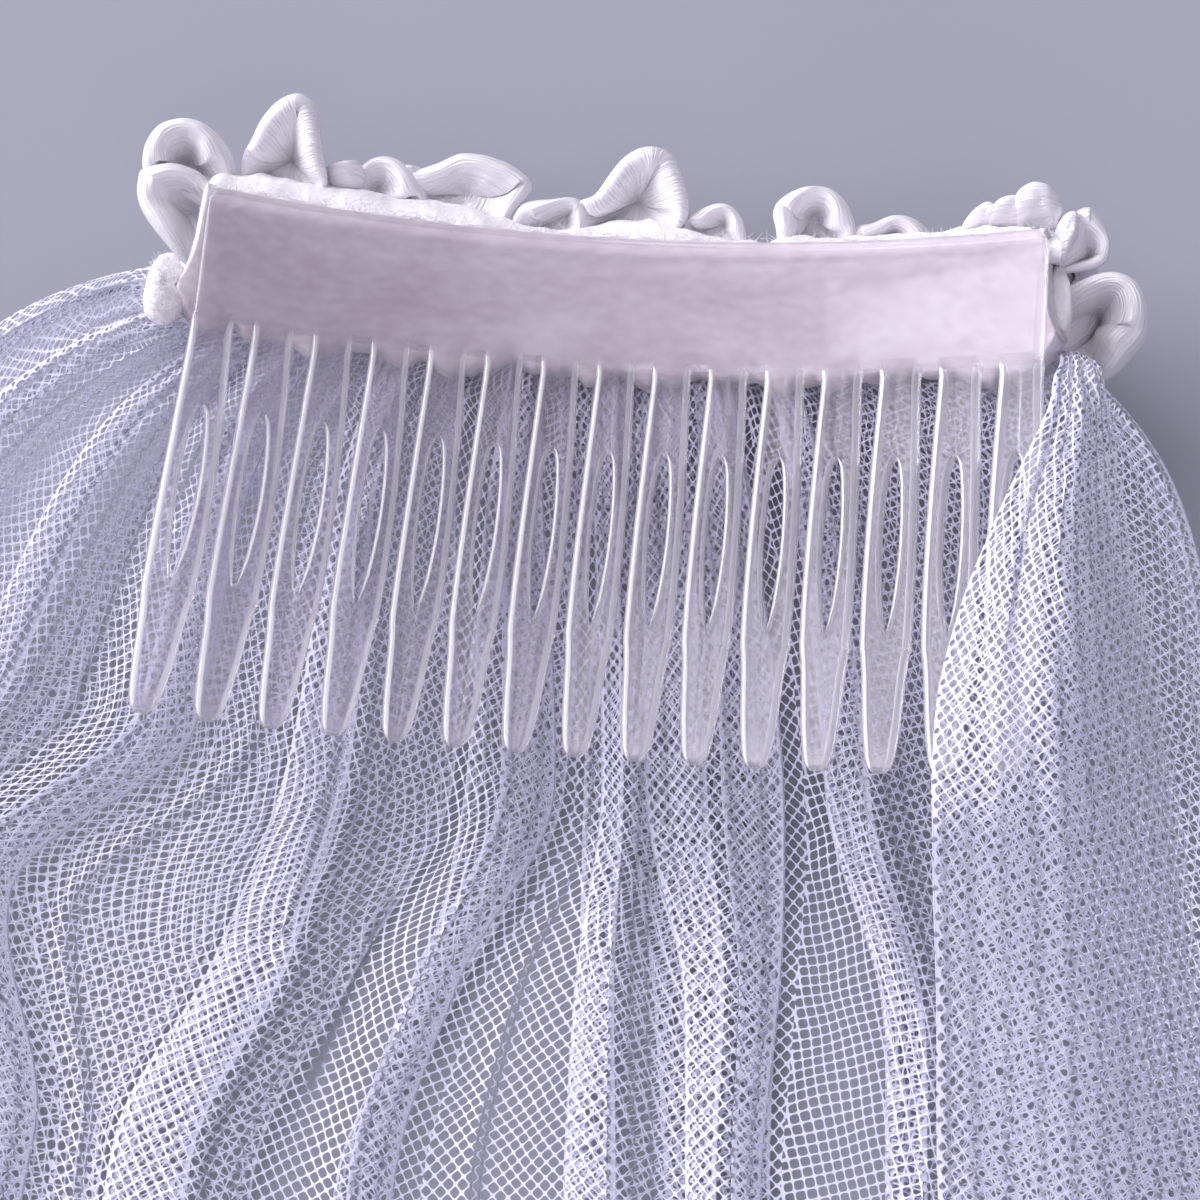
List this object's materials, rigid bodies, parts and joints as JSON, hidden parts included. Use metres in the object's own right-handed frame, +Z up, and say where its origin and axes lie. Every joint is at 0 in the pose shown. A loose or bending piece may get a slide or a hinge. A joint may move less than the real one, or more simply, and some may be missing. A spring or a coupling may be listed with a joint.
{
  "type": "bridal veil",
  "caption": "Short bridal veil of net, gathered behind a clear plastic comb with satin rosettes along its spine, laid out flat.",
  "frame": {"origin": "the middle of the footprint, on the surface the veil lies on", "axes": "+X towards the right end of the comb, +Y from the hem to the comb, +Z up off the surface"},
  "size_m": [0.2728, 0.4814, 0.0295],
  "materials": {
    "clear_plastic": "clear moulded, glossy",
    "bunched_tulle": "bunched and glued net",
    "tulle_net": "fine open net",
    "satin_ribbon": "satin"
  },
  "bodies": {
    "root": {"comb": "clear_plastic", "gathered_heading": "bunched_tulle", "tulle_left": "tulle_net", "tulle_middle_left": "tulle_net", "tulle_middle": "tulle_net", "tulle_right": "tulle_net", "tulle_right_over": "tulle_net", "rosette_1": "satin_ribbon", "rosette_2": "satin_ribbon", "rosette_3": "satin_ribbon", "rosette_4": "satin_ribbon", "rosette_5": "satin_ribbon"}
  },
  "joints": []
}
